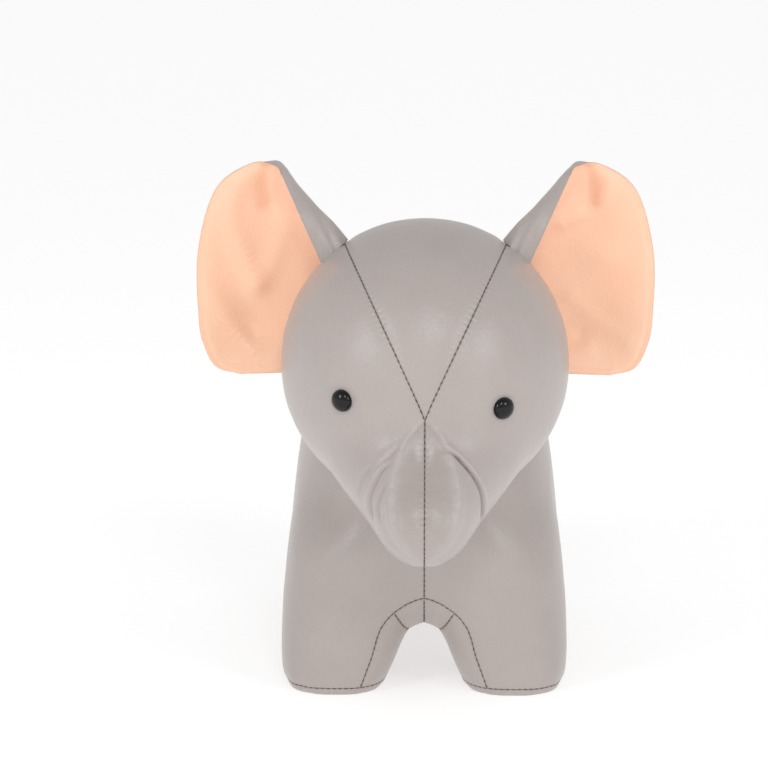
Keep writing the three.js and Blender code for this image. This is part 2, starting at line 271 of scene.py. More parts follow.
def read_points(mesh):
    points = np.empty(len(mesh.vertices) * 3)
    mesh.vertices.foreach_get("co", points)
    return points.reshape(-1, 3) / MM


def soften(points, edges, rounds, amount=0.5):
    count = np.bincount(edges.ravel(), minlength=len(points))[:, None]
    for _ in range(rounds):
        total = np.zeros_like(points)
        np.add.at(total, edges[:, 0], points[edges[:, 1]])
        np.add.at(total, edges[:, 1], points[edges[:, 0]])
        points = points + amount * (total / count - points)
    return points


SWELL = 2.0  # the furthest that stuffing may push the skin out
STUFFING_FRAMES = 14
STUFFING_PRESSURE = 40
SKIN_STIFFNESS = 3


def swell(piece, held):
    """Stuffs a sewn form: the skin swells under pressure and is held back where held is 1."""
    start = read_points(piece.data)
    group = piece.vertex_groups.new(name="sewn")
    for i in np.flatnonzero(held > 0.02):
        group.add([int(i)], float(held[i]), "REPLACE")
    cloth = piece.modifiers.new("stuffing", "CLOTH")
    skin = cloth.settings
    skin.vertex_group_mass = "sewn"
    skin.use_pressure = True
    skin.uniform_pressure_force = STUFFING_PRESSURE
    skin.tension_stiffness = SKIN_STIFFNESS
    skin.compression_stiffness = SKIN_STIFFNESS
    skin.shear_stiffness = 1
    skin.effector_weights.gravity = 0
    skin.bending_stiffness = 0.1
    cloth.point_cache.frame_start = 1
    cloth.point_cache.frame_end = STUFFING_FRAMES + 1
    for step in range(1, STUFFING_FRAMES + 1):
        scene.frame_set(step)
    shown = piece.evaluated_get(bpy.context.evaluated_depsgraph_get())
    moved = read_points(shown.data) - start
    piece.modifiers.clear()
    scene.frame_set(1)
    length = np.linalg.norm(moved, axis=1, keepdims=True)
    limit = SWELL * (1 - held[:, None])
    return start + moved * np.minimum(1, limit / np.maximum(length, 1e-6))


MESH_SIZE = 4.0  # of the skin while it is stuffed
PINNED, FREE = 1.35, 7.0  # how hard a seam holds, and how far from it the skin is free


def stuffed_form(name, lofts, seam_distance, rounds, amount):
    """Joins the lofts into one skin, rounds its joins, swells it between its seams and returns
    the core under the skin, then the skin's points and triangles, in millimetres."""
    points, faces = [], []
    for form_points, form_faces in lofts:
        shift = len(points)
        points += [np.asarray(p) * MM for p in form_points]
        faces += [tuple(i + shift for i in f) for f in form_faces]
    mesh = bpy.data.meshes.new(name)
    mesh.from_pydata(points, [], faces)
    piece = bpy.data.objects.new(name, mesh)
    scene.collection.objects.link(piece)
    remesh = piece.modifiers.new("one_skin", "REMESH")
    remesh.mode = "VOXEL"
    remesh.voxel_size = MESH_SIZE * MM
    mesh = applied(piece)
    edges = np.array([e.vertices[:] for e in mesh.edges])
    sewn = read_points(mesh)
    sewn = soften(sewn, edges, rounds, amount(sewn))
    mesh.vertices.foreach_set("co", (sewn * MM).ravel())
    mesh.update()
    gap = seam_distance(sewn)
    held = np.clip(PINNED - gap / FREE, 0, 1)
    full = swell(piece, held)
    full = soften(full, edges, 1)
    mesh.vertices.foreach_set("co", (full * MM).ravel())
    core = mesh.copy()
    piece.modifiers.new("smooth", "SUBSURF").levels = 2
    mesh = applied(piece)
    mesh.calc_loop_triangles()
    triangles = np.empty(len(mesh.loop_triangles) * 3, int)
    mesh.loop_triangles.foreach_get("vertices", triangles)
    points = read_points(mesh)
    bpy.data.objects.remove(piece)
    return core, points, triangles.reshape(-1, 3)


def edges_of(triangles, count):
    """Every edge once, and the number of each triangle's three edges."""
    pairs = np.sort(triangles[:, [0, 1, 1, 2, 2, 0]].reshape(-1, 2), axis=1)
    keys, sides = np.unique(pairs[:, 0] * count + pairs[:, 1], return_inverse=True)
    return np.stack([keys // count, keys % count], 1), sides.reshape(-1, 3)


def divide(points, triangles, edges, sides, marked, share):
    """Adds a point on each marked edge, at its share of the way, and splits its triangles."""
    fresh = np.full(len(edges), -1)
    fresh[marked] = len(points) + np.arange(marked.sum())
    a, b = points[edges[marked, 0]], points[edges[marked, 1]]
    points = np.vstack([points, a + (b - a) * share[marked, None]])
    middle = fresh[sides]
    code = (middle >= 0) @ np.array([1, 2, 4])
    made = [triangles[code == 0]]
    for turn in range(3):
        t, m = np.roll(triangles, -turn, 1), np.roll(middle, -turn, 1)
        one = code == 1 << turn
        made.append(np.stack([t[one, 0], m[one, 0], t[one, 2]], 1))
        made.append(np.stack([m[one, 0], t[one, 1], t[one, 2]], 1))
        two = code == (1 << turn) + (1 << (turn + 1) % 3)
        made.append(np.stack([m[two, 0], t[two, 1], m[two, 1]], 1))
        made.append(np.stack([t[two, 0], m[two, 0], m[two, 1]], 1))
        made.append(np.stack([t[two, 0], m[two, 1], t[two, 2]], 1))
        three = code == 7
        made.append(np.stack([t[three, 0], m[three, 0], m[three, 2]], 1))
    made.append(middle[code == 7])
    return points, np.vstack(made)


def refine(points, triangles, wanted_length):
    """Halves edges until none is longer than the length wanted where it lies."""
    for _ in range(3):
        edges, sides = edges_of(triangles, len(points))
        a, b = points[edges[:, 0]], points[edges[:, 1]]
        marked = np.linalg.norm(b - a, axis=1) > wanted_length((a + b) / 2)
        if not marked.any():
            break
        half = np.full(len(edges), 0.5)
        points, triangles = divide(points, triangles, edges, sides, marked, half)
    return points, triangles


def slope_of(field, points):
    step = 0.05
    change = [
        field(points + step * axis) - field(points - step * axis) for axis in np.eye(3)
    ]
    return np.stack(change, 1) / (2 * step)


def distance_to(field, points):
    """About how far each point is from the place where the field is 0."""
    steep = np.linalg.norm(slope_of(field, points), axis=1)
    return np.abs(field(points)) / np.maximum(steep, 1e-6)


def cut_along(points, triangles, fields):
    """Cuts the triangles along the zero lines of the fields."""
    settled = np.zeros(len(points), bool)
    for field in fields:
        value = field(points)
        slope = slope_of(field, points)
        steep = np.maximum(np.linalg.norm(slope, axis=1), 1e-6)
        gap = np.abs(value) / steep
        near = (gap < 0.09) & ~settled
        points = points.copy()
        points[near] -= (value[near] / steep[near] ** 2)[:, None] * slope[near]
        value[near | (gap < 0.04)] = 0
        settled |= near
        edges, sides = edges_of(triangles, len(points))
        a, b = value[edges[:, 0]], value[edges[:, 1]]
        crossed = a * b < 0
        share = np.where(crossed, a / np.where(crossed, a - b, 1), 0.5)
        points, triangles = divide(points, triangles, edges, sides, crossed, share)
        settled = np.concatenate([settled, np.ones(len(points) - len(settled), bool)])
    return points, triangles


def normals_of(points, triangles):
    a, b, c = (points[triangles[:, i]] for i in range(3))
    flat = np.cross(b - a, c - a)
    total = np.zeros_like(points)
    for i in range(3):
        for axis in range(3):
            total[:, axis] += np.bincount(triangles[:, i], flat[:, axis], len(points))
    return total / np.maximum(np.linalg.norm(total, axis=1, keepdims=True), 1e-9)


def seam_lines(points, triangles, label, hidden):
    """The seams, each an ordered line of point numbers, between panels of different label."""
    edges, sides = edges_of(triangles, len(points))
    low = np.full(len(edges), 1000)
    high = np.full(len(edges), -1)
    np.minimum.at(low, sides.ravel(), np.repeat(label, 3))
    np.maximum.at(high, sides.ravel(), np.repeat(label, 3))
    lines = []
    for pair in sorted(set(zip(low[low != high], high[low != high]))):
        if hidden in pair:
            continue
        links = {}
        for a, b in edges[(low == pair[0]) & (high == pair[1])]:
            links.setdefault(int(a), []).append(int(b))
            links.setdefault(int(b), []).append(int(a))
        starts = sorted(p for p in links if len(links[p]) != 2) + sorted(links)
        for start in starts:
            while links.get(start):
                line = [start]
                while links.get(line[-1]):
                    there = links[line[-1]].pop(0)
                    links[there].remove(line[-1])
                    line.append(there)
                lines.append(line)
    return lines


def along(line):
    return np.concatenate([[0], np.cumsum(np.linalg.norm(np.diff(line, axis=0), axis=1))])


PITCH = 2.5  # from one stitch to the next
SEAM_GROOVE = 0.5
SEAM_DIP = 0.5
SEAM_PUCKER = 0.10
SEAM_SHADE = 0.45  # how near to a seam the leather is painted darker, as painted shade in its groove


def sewn_shape(points, lines):
    """How far each point is from the nearest seam, and how far along it."""
    spots, runs = [], []
    for line in lines:
        run = along(points[line])
        dense = np.arange(0, run[-1], 0.3)
        spots += [np.interp(dense, run, points[line][:, axis]) for axis in range(3)]
        runs.append(dense)
    spots = np.vstack([np.stack(spots[i : i + 3], 1) for i in range(0, len(spots), 3)])
    runs = np.concatenate(runs)
    tree = kdtree.KDTree(len(spots))
    for i, spot in enumerate(spots):
        tree.insert(spot, i)
    tree.balance()
    found = [tree.find(p) for p in points]
    return np.array([f[2] for f in found]), runs[[f[1] for f in found]]


def seam_relief(gap, run):
    """Height of the skin beside a seam: a tight groove, a soft dip, and puckers at each stitch."""
    groove = -SEAM_GROOVE * np.clip(1 - gap / 0.6, 0, 1) ** 1.2
    dip = -SEAM_DIP * np.exp(-((gap / 3.2) ** 2))
    stitched = np.exp(-(((gap - 1.2) / 1.1) ** 2))
    pucker = SEAM_PUCKER * np.cos(2 * np.pi * run / PITCH) * stitched
    return groove + dip + pucker


# Painted shade: how strongly the leather is painted darker in a seam's groove, 1 at the seam.
def seam_shade(gap):
    return np.clip(1 - gap / SEAM_SHADE, 0, 1)


def build(name, points, triangles, material):
    mesh = bpy.data.meshes.new(name)
    mesh.vertices.add(len(points))
    mesh.vertices.foreach_set("co", (points * MM).ravel())
    mesh.loops.add(len(triangles) * 3)
    mesh.loops.foreach_set("vertex_index", triangles.ravel())
    mesh.polygons.add(len(triangles))
    mesh.polygons.foreach_set("loop_start", np.arange(0, len(triangles) * 3, 3))
    mesh.update(calc_edges=True)
    mesh.validate()
    mesh.shade_smooth()
    mesh.set_sharp_from_angle(angle=math.radians(70))
    mesh.materials.append(material)
    piece = bpy.data.objects.new(name, mesh)
    scene.collection.objects.link(piece)
    return piece


def mark(piece, name, values):
    """Keeps one number for each point, for the finish to read."""
    layer = piece.data.attributes.new(name, "FLOAT", "POINT")
    layer.data.foreach_set("value", values.astype(np.float32))


def panel(name, points, normals, triangles, marks, material):
    """A closed thin panel: the skin's outside, its backing, and the cut edge between them."""
    used, packed = np.unique(triangles, return_inverse=True)
    outside = packed.reshape(-1, 3)
    count = len(used)
    directed = outside[:, [0, 1, 1, 2, 2, 0]].reshape(-1, 2)
    forward = directed[:, 0] * count + directed[:, 1]
    backward = directed[:, 1] * count + directed[:, 0]
    a, b = directed[~np.isin(forward, backward)].T
    walls = [np.stack([b, a, a + count], 1), np.stack([b, a + count, b + count], 1)]
    faces = np.vstack([outside, outside[:, ::-1] + count, *walls])
    inside = points[used] - normals[used] * SKIN
    piece = build(name, np.vstack([points[used], inside]), faces, material)
    for mark_name, values in marks.items():
        mark(piece, mark_name, np.tile(values[used], 2))
    return piece


def leather(name, colour, seam_shade_colour, light, painted_highlight_colour, painted_shade_colour):
    """Soft embossed faux leather: fine pebbled grain and faint mottling, painted darker in its
    seams as painted shade, and painted paler or darker by the painted light mark."""
    material, wires = new_finish(name)
    place = wires.node("ShaderNodeTexCoord", out="Object")
    pebble = wires.node(
        "ShaderNodeTexVoronoi", {"feature": "SMOOTH_F1"}, {"Vector": place, "Scale": 1150.0}
    )
    pores = wires.node("ShaderNodeTexNoise", {}, {"Vector": place, "Scale": 2600.0, "Detail": 2.0})
    mottle = wires.node("ShaderNodeTexNoise", {}, {"Vector": place, "Scale": 60.0, "Detail": 4.0})
    cloudy = wires.node("ShaderNodeTexNoise", {}, {"Vector": place, "Scale": 14.0, "Detail": 2.0})
    # Painted shade: the seam mark paints the colour darker in the seams' grooves.
    seam = wires.node("ShaderNodeAttribute", {"attribute_name": "seam_painted_shade"}, out="Fac")
    tone = mottle.between(0.35, 0.65) * 0.5 + cloudy.between(0.35, 0.65) * 0.5
    grained = (pebble.between(0.1, 0.75) * 0.35 + tone * 0.65).tint(colour, light)
    # Painted light: where the painted light mark is above 0 the colour is painted paler, as a
    # painted highlight, and below 0 darker, as painted shade.
    painted_light = wires.node("ShaderNodeAttribute", {"attribute_name": "painted_light"}, out="Fac")
    with_painted_highlight = wires.maths("MAXIMUM", painted_light).tint(grained, painted_highlight_colour)
    with_painted_shade = wires.maths("MAXIMUM", painted_light * -1.0).tint(with_painted_highlight, painted_shade_colour)
    toned = seam.tint(with_painted_shade, seam_shade_colour)
    grain = pebble * -0.7 + pores * 0.3
    bump = wires.node(
        "ShaderNodeBump", {}, {"Strength": 0.42, "Distance": 0.0003, "Height": grain}
    )
    surface(
        wires,
        Base_Color=toned,
        Roughness=0.25 + pores * 0.08 + tone * 0.05,
        Normal=bump,
        IOR=1.46,
        Sheen_Weight=0.08,
        Sheen_Roughness=0.4,
    )
    return material


grey_leather = leather(
    "grey_leather",
    paint(173, 164, 160),
    paint(150, 139, 132),
    paint(179, 170, 166),
    paint(203, 196, 193),
    paint(112, 100, 94),
)


def gusset_table():
    """The gusset's half width by the angle round the head, from the front up over the crown."""
    rise = np.linspace(0, 1, 41)
    half = GUSSET_CROWN * rise
    seen = GUSSET_SEEN[0] + (GUSSET_SEEN[1] - GUSSET_SEEN[0]) * rise
    angle = GUSSET_TILT + np.degrees(np.arcsin(seen / np.sqrt(HEAD_RADIUS**2 - half**2)))
    back = np.linspace(0, 1, 30)[1:]
    angle_back = angle[-1] + (GUSSET_NECK[1] - angle[-1]) * back
    half_back = GUSSET_CROWN + (GUSSET_NECK[0] - GUSSET_CROWN) * back**1.5
    angles = np.concatenate([[-40], angle, angle_back, [245, 270]])
    return angles, np.concatenate([[-14], half, half_back, [-4, -10]])


GUSSET_ANGLES, GUSSET_HALVES = gusset_table()


def beside_gusset(points):
    forward, up = HEAD[1] - points[:, 1], points[:, 2] - HEAD[2]
    angle = np.degrees(np.arctan2(up, forward))
    angle = np.where(angle < -90, angle + 360, angle)
    return np.abs(points[:, 0]) - np.interp(angle, GUSSET_ANGLES, GUSSET_HALVES)


def middle_plane(points):
    return points[:, 0].copy()


def outside_neck(points):
    way = NECK_WAY / np.linalg.norm(NECK_WAY)
    offset = points - HEAD
    depth = offset @ way
    aside = np.linalg.norm(offset - depth[:, None] * way, axis=1)
    return np.where(depth > 0, aside - NECK_RADIUS, HEAD_RADIUS)


def head_seam_distance(points):
    beside = beside_gusset(points)
    middle = np.where(beside > -1, np.abs(points[:, 0]), 99)
    return np.minimum(distance_to(beside_gusset, points), middle)


def ball(radius):
    rise = np.linspace(-math.pi / 2, math.pi / 2, 42)[1:-1, None]
    turn = np.linspace(0, 2 * math.pi, 64, endpoint=False)[None, :]
    across = np.cos(rise) * np.sin(turn)
    back = np.cos(rise) * np.cos(turn)
    return closed_form(HEAD + radius * np.stack([across, back, np.sin(rise) + 0 * turn], -1))


def trunk_form():
    turn = np.linspace(0, 2 * math.pi, 48, endpoint=False)
    rings = []
    for top_f, top_h, low_f, low_h, half in through(TRUNK, 5):
        middle = np.array([top_f + low_f, top_h + low_h]) / 2
        rise = np.array([top_f - low_f, top_h - low_h]) / 2
        forward = middle[0] + rise[0] * np.sin(turn)
        up = middle[1] + rise[1] * np.sin(turn)
        across = half * np.cos(turn)
        rings.append(HEAD + np.stack([across, -forward, up], 1))
    return closed_form(np.array(rings))


head_core, head_points, head_triangles = stuffed_form(
    "head",
    [ball(HEAD_RADIUS + 0.5), trunk_form()],
    head_seam_distance,
    6,
    lambda points: np.full((len(points), 1), 0.5),
)

# The leaf down the trunk's front: height seen from in front, and half width.
LEAF = np.array([
    [-80, -1], [-78, 0], [-73, 6], [-69, 9.5], [-63.5, 12.1], [-57, 13.2],
    [-50, 12.9], [-41, 11], [-34, 8.5], [-30, 6], [-24, 0.5], [-22, -1],
])
RIGHT_CREASE = [
    (5.6, -34.0), (12, -37.6), (18.4, -44.4), (21.8, -51), (22.6, -57.5), (22.2, -63),
]
# Creases of the trunk: a line of (across, height seen from in front), its depth, its width, and
# the height of the lip beside it.
CREASES = [
    (RIGHT_CREASE, 1.6, 0.55, 0.45),
    ([(-12, -39.5), (-16.5, -43), (-19.5, -49), (-21, -55), (-20, -61)], 0.7, 0.7, 0.25),
    ([(-13.5, -46.5), (-16.5, -52), (-17.6, -57), (-17, -62)], 0.45, 0.6, 0.15),
    ([(-20, -41), (-23.6, -45.5), (-25.3, -52)], 0.3, 0.7, 0.1),
    ([(-8, -33), (-13.5, -37.5), (-18, -42)], 0.25, 0.9, 0.1),
]


def fold_relief(seen, line, depth, width, lip):
    """A crease along a line with a raised lip on the side away from the middle, and its painted
    light: painted shade in the crease and a painted highlight on the lip.
    """
    line = through(line, 8)
    best = np.full(len(seen), 99.0)
    side = np.zeros(len(seen))
    share = np.zeros(len(seen))
    for i, (start, end) in enumerate(zip(line, line[1:])):
        step = end - start
        t = np.clip((seen - start) @ step / (step @ step), 0, 1)
        offset = seen - start - t[:, None] * step
        gap = np.linalg.norm(offset, axis=1)
        closer = gap < best
        best = np.where(closer, gap, best)
        outward = offset[:, 0] * np.sign(line[-1][0])
        side = np.where(closer, np.sign(outward), side)
        share = np.where(closer, (i + t) / (len(line) - 1), share)
    fade = np.clip(np.minimum(share, 1.12 - share) * 5, 0, 1)
    hollow = np.exp(-((best / width) ** 2)) * fade
    raised = np.exp(-(((best - 2.2 * width) / (1.2 * width)) ** 2)) * (side > 0) * fade
    # The second value is painted light: a painted highlight on the lip and painted shade in the
    # crease.
    return lip * raised - depth * hollow, raised * lip * 0.5 - hollow * min(1, depth / 3)


def trunk_relief(points, normals):
    """The flattened leaf down the front of the trunk with its soft ridges, and the creases; also
    their painted light, a painted highlight on the ridges and painted shade in the leaf.
    """
    tilt = math.radians(GUSSET_TILT)
    forward, up = HEAD[1] - points[:, 1], points[:, 2] - HEAD[2]
    height = up * math.cos(tilt) - forward * math.sin(tilt)
    seen = np.stack([points[:, 0], height], 1)
    facing = np.clip(normals @ np.array([0, -math.cos(tilt), math.sin(tilt)]) * 4, 0, 1)
    facing = facing * np.clip((forward - 30) / 8, 0, 1)
    half = np.interp(height, LEAF[:, 0], LEAF[:, 1])
    inside = half - np.abs(points[:, 0])
    size = np.clip(half / 9, 0, 1)
    tip = np.clip((height + 82) / 22, 0, 1)
    middle = np.clip(1 - (points[:, 0] / np.maximum(half, 0.1)) ** 2, 0, 1)
    flat = -3.0 * middle * size * tip
    ridge = 1.0 * np.exp(-((inside / np.where(inside > 0, 1.2, 2.2)) ** 2)) * size
    relief = flat * (inside > 0) + ridge
    # Painted light: a painted highlight on the leaf's ridges and painted shade over the leaf
    # between them.
    painted_light = 0.14 * ridge - 0.10 * (inside > 0) * np.clip(inside / 4, 0, 1) * size
    for line, depth, width, lip in CREASES:
        fold, tone = fold_relief(seen, line, depth, width, lip)
        relief, painted_light = relief + fold, painted_light + tone
    for side in (-1, 1):
        spot = np.hypot((points[:, 0] - side * 15) / 11, (height + 27) / 6)
        relief = relief + 1.1 * np.exp(-(spot**2))
    pucker = np.hypot((np.abs(points[:, 0]) - 2.2) / 1.3, (height + 34.5) / 3.0)
    relief = relief + 0.5 * np.exp(-(pucker**2))
    # Painted highlight on the pucker where the trunk kinks.
    painted_light = painted_light + 0.45 * np.exp(-(pucker**2))
    return relief * facing, painted_light * facing


def head_mesh_length(points):
    forward, up = HEAD[1] - points[:, 1], points[:, 2] - HEAD[2]
    trunk = (forward > 35) & (up < -12)
    near = head_seam_distance(points) < 2.6
    return np.where(near, 0.75, np.where(trunk, 0.95, 1.9))


head_points, head_triangles = refine(head_points, head_triangles, head_mesh_length)
head_points, head_triangles = cut_along(
    head_points, head_triangles, [beside_gusset, middle_plane, outside_neck]
)

middles = head_points[head_triangles].mean(1)
GUSSET_LABEL, LEFT_LABEL, RIGHT_LABEL, OPEN_LABEL = range(4)
head_label = np.where(middles[:, 0] > 0, LEFT_LABEL, RIGHT_LABEL)
head_label = np.where(beside_gusset(middles) < 0, GUSSET_LABEL, head_label)
head_label = np.where(outside_neck(middles) < 0, OPEN_LABEL, head_label)
head_seams = seam_lines(head_points, head_triangles, head_label, OPEN_LABEL)
seam_gap, seam_run = sewn_shape(head_points, head_seams)
head_normals = normals_of(head_points, head_triangles)
eye_spots = {
    side: HEAD + HEAD_RADIUS * way / np.linalg.norm(way) for side, way in EYE_WAYS.items()
}
relief, head_painted_light = trunk_relief(head_points, head_normals)
relief = relief + seam_relief(seam_gap, seam_run)
for spot in eye_spots.values():
    relief = relief - 1.0 * np.exp(-((np.linalg.norm(head_points - spot, axis=1) / 6.0) ** 2))
head_points = head_points + head_normals * relief[:, None]
head_normals = normals_of(head_points, head_triangles)
head_marks = {"seam_painted_shade": seam_shade(seam_gap), "painted_light": head_painted_light}

head_panels = {
    "forehead_gusset": GUSSET_LABEL,
    "head_side_left": LEFT_LABEL,
    "head_side_right": RIGHT_LABEL,
}
for name, label in head_panels.items():
    chosen = head_triangles[head_label == label]
    piece = panel(name + "_skin", head_points, head_normals, chosen, head_marks, grey_leather)
    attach(piece, "body")
    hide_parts(name)


# ---- The fibre filling of the head ----
# Loose polyester fibre, pushed in by hand until the skin is tight. It fills the head behind the
# skin, and only its shape matters because the seams are closed over it.
def fibre(name):
    """White matted fibre with soft clumps."""
    material, wires = new_finish(name)
    place = wires.node("ShaderNodeTexCoord", out="Object")
    clumps = wires.node("ShaderNodeTexNoise", {}, {"Vector": place, "Scale": 160.0, "Detail": 8.0})
    tone = clumps.between(0.3, 0.7).tint(paint(222, 219, 211), paint(248, 247, 243))
    bump = wires.node("ShaderNodeBump", {}, {"Strength": 0.7, "Distance": 0.002, "Height": clumps})
    surface(wires, Base_Color=tone, Roughness=0.95, Normal=bump)
    return material


fibre_filling = fibre("fibre_filling")
FILLING_DEPTH = 6.5  # from the skin's outside, clear of every seam's groove


def filling(name, core, node):
    """The stuffing under the skin, as the swollen form drawn inwards."""
    outward = np.empty(len(core.vertices) * 3)
    core.vertex_normals.foreach_get("vector", outward)
    drawn = read_points(core) - outward.reshape(-1, 3) * FILLING_DEPTH
    core.vertices.foreach_set("co", (drawn * MM).ravel())
    core.update()
    core.materials.append(fibre_filling)
    core.shade_smooth()
    piece = bpy.data.objects.new(name, core)
    scene.collection.objects.link(piece)
    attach(piece, "body")
    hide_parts(node)


filling("head_stuffing", head_core, "head_filling")


# ---- The stitching: brown thread in the seams ----
# Each seam is a lockstitch of strong dark brown thread, with a stitch every 2.5 mm lying in the
# groove between two panels. The stitches of the head and of the body are two pieces of sewing.
THREAD = 0.17  # half of its thickness
STITCH = 1.55
STITCH_LIFT = 0.14
thread, wires = new_finish("brown_thread")
place = wires.node("ShaderNodeTexCoord", out="Object")
twist = wires.node(
    "ShaderNodeTexWave", {"bands_direction": "DIAGONAL"}, {"Vector": place, "Scale": 1500.0}, 1
)
bump = wires.node("ShaderNodeBump", {}, {"Strength": 0.5, "Distance": 0.0001, "Height": twist})
surface(
    wires,
    Base_Color=(twist * 0.5).tint(paint(98, 78, 66), paint(122, 100, 86)),
    Roughness=0.6,
    Normal=bump,
)


def stitch_form():
    """One stitch along x, fat in the middle, with rounded ends."""
    turn = np.linspace(0, 2 * math.pi, 8, endpoint=False)
    rings = []
    for share in (-1, -0.85, -0.5, 0, 0.5, 0.85, 1):
        girth = math.sqrt(1 - abs(share) ** 3.5) * THREAD if abs(share) < 1 else THREAD * 0.25
        lift = 0.12 * (1 - share**2)
        side, up = girth * np.cos(turn), girth * 0.85 * np.sin(turn) + lift
        rings.append(np.stack([np.full(8, share * STITCH / 2), side, up], 1))
    return in_triangles(*closed_form(np.array(rings)))


def sew(name, points, normals, lines):
    form, faces = stitch_form()
    places, alongs, ups = [], [], []
    for line in lines:
        run = along(points[line])
        for middle in np.arange(PITCH / 2, run[-1] - 0.5, PITCH):
            ends = [middle - STITCH / 2, middle + STITCH / 2]
            start, end = (
                np.array([np.interp(e, run, points[line][:, k]) for k in range(3)]) for e in ends
            )
            up = np.array([np.interp(middle, run, normals[line][:, k]) for k in range(3)])
            places.append((start + end) / 2)
            alongs.append(end - start)
            ups.append(up)
    places = np.array(places)
    forward = np.array(alongs)
    forward /= np.linalg.norm(forward, axis=1, keepdims=True)
    aside = np.cross(np.array(ups), forward)
    aside /= np.linalg.norm(aside, axis=1, keepdims=True)
    up = np.cross(forward, aside)
    axes = np.stack([forward, aside, up], 1)
    made = np.einsum("kj,sjc->skc", form, axes) + (places + up * STITCH_LIFT)[:, None]
    shifts = np.arange(len(places))[:, None, None] * len(form)
    triangles = (faces[None] + shifts).reshape(-1, 3)
    piece = build(name, made.reshape(-1, 3), triangles, thread)
    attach(piece, "body")


sew("head_stitches", head_points, head_normals, head_seams)


# ---- The eyes: two black domes on stems, locked by washers ----
# Each eye is a moulded black plastic dome whose stem passes through the skin into a washer that
# grips it from inside. The domes are polished, so they mirror the softboxes.
EYE_RADIUS = 4.4
EYE_HEIGHT = 2.8
EYE_SEAT = -1.9  # the rim reaches below the skin's dimple
STEM_RADIUS = 1.6
STEM_LENGTH = 11.0

eye_plastic, wires = new_finish("eye_plastic")
place = wires.node("ShaderNodeTexCoord", out="Object")
flow = wires.node("ShaderNodeTexNoise", {}, {"Vector": place, "Scale": 500.0, "Detail": 3.0})
surface(
    wires,
    Base_Color=flow.between(0.3, 0.7).tint(paint(3, 3, 4), paint(7, 6, 7)),
    Roughness=0.04 + flow * 0.02,
    IOR=1.42,
)


def turned(profile, origin, way, sides):
    """A closed form turned round an axis, from rows of (radius, height along the way)."""
    axis = way / np.linalg.norm(way)
    aside = np.cross(axis, [0, 0, 1.0])
    aside /= np.linalg.norm(aside)
    up = np.cross(aside, axis)
    turn = np.linspace(0, 2 * math.pi, sides, endpoint=False)[:, None]
    rings = [
        origin + axis * height + radius * (np.cos(turn) * aside + np.sin(turn) * up)
        for radius, height in profile
    ]
    return in_triangles(*closed_form(np.array(rings)))


rise = np.linspace(0, math.pi / 2, 22)[:-1]
dome = np.stack([EYE_RADIUS * np.cos(rise) ** 0.9, EYE_HEIGHT * np.sin(rise)], 1)
eye_profile = np.vstack([
    [[STEM_RADIUS * 0.6, -STEM_LENGTH], [STEM_RADIUS, -STEM_LENGTH + 1]],
    [[STEM_RADIUS, EYE_SEAT - 0.3], [EYE_RADIUS * 0.9, EYE_SEAT]],
    [[EYE_RADIUS * 0.98, EYE_SEAT + 0.3], [EYE_RADIUS, EYE_SEAT + 0.8]],
    dome,
])
for side, spot in eye_spots.items():
    form, faces = turned(eye_profile, spot, spot - HEAD, 48)
    eye = build("eye_" + side + "_dome", form, faces, eye_plastic)
    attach(eye, "body")
    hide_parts("eye_" + side)

washer_plastic, wires = new_finish("washer_plastic")
place = wires.node("ShaderNodeTexCoord", out="Object")
flow = wires.node("ShaderNodeTexNoise", {}, {"Vector": place, "Scale": 300.0, "Detail": 3.0})
surface(
    wires,
    Base_Color=flow.between(0.3, 0.7).tint(paint(226, 224, 218), paint(238, 236, 231)),
    Roughness=0.5 + flow * 0.15,
)
for side in ("left", "right"):
    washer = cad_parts["eye_washer_" + side]
    washer.data.materials.clear()
    washer.data.materials.append(washer_plastic)


# ---- The ears: peach in front, grey behind, with wadding between ----
# Each ear is a big soft leaf of two leathers sewn round its edge, turned and lined with thin
# wadding. Its root is cupped round the side of the head and sewn into the seam over the ear, so
# the grey back shows at the top inner edge.
EAR_ROOT = [
    [43.5, 1, 41.5], [37.5, 8, 46.5], [36.5, 18, 44.5], [44, 26, 33.5], [51.5, 27, 18.5],
    [56, 23, 4.5], [58, 17, -8.5],
]
EAR_RIM = [
    [57.5, 4, 75.5], [60.5, 10, 78.5], [70.7, 15, 78.5], [85.3, 18, 67.5], [93, 20, 41.5],
    [93, 19, 14], [91, 18, 3], [86, 17, -6], [76, 17, -9],
]
EAR_GRID = (170, 90)
EAR_EDGE = 0.35  # half of the thickness at the sewn rim
EAR_PUFF = 1.9
RIM_TUCK = 0.2  # the grey back is drawn in, so that only peach shows at the rim
CUFF_PUFF = 3.4  # more wadding where the back turns forward at the top of the root
CUFF_PLACE = 0.17  # along the root, from its front end
PLEAT_DEPTH, PLEAT_SPACING = 0.6, 0.07
EAR_BEND = 0.014  # length of the bend's axis, out from the hinge along the ear's outward way
EAR_HINGE = (50.5, 8.9, 16.6)
EAR_OUTWARD = (0.899, 0.283, 0.335)
# Soft folds of each ear: a line of (across, up) from the head's centre, its height and width.
EAR_FOLDS = {
    "left": [
        ([(64, 77), (65.5, 70), (66, 63)], -3.0, 4.2),
        ([(76, 76), (73.5, 68), (65, 60), (55, 55)], 1.5, 4.0),
        ([(57, 8), (62, 6)], -1.5, 5.0),
        ([(60, 22), (72, 12), (84, 5)], 0.9, 4.5),
        ([(66, 44), (78, 38), (88, 36)], 0.8, 7.0),
    ],
    "right": [
        ([(62.5, 77), (63.5, 70), (62.5, 62)], -3.2, 4.6),
        ([(76, 74), (80, 60), (77, 46), (70, 28)], 1.4, 5.0),
        ([(90, 27), (80, 10), (70, -3)], 0.9, 4.5),
        ([(58, 50), (64, 34), (70, 26)], 1.0, 5.0),
        ([(84, 45), (76, 25), (70, 8)], -0.5, 5.5),
    ],
}

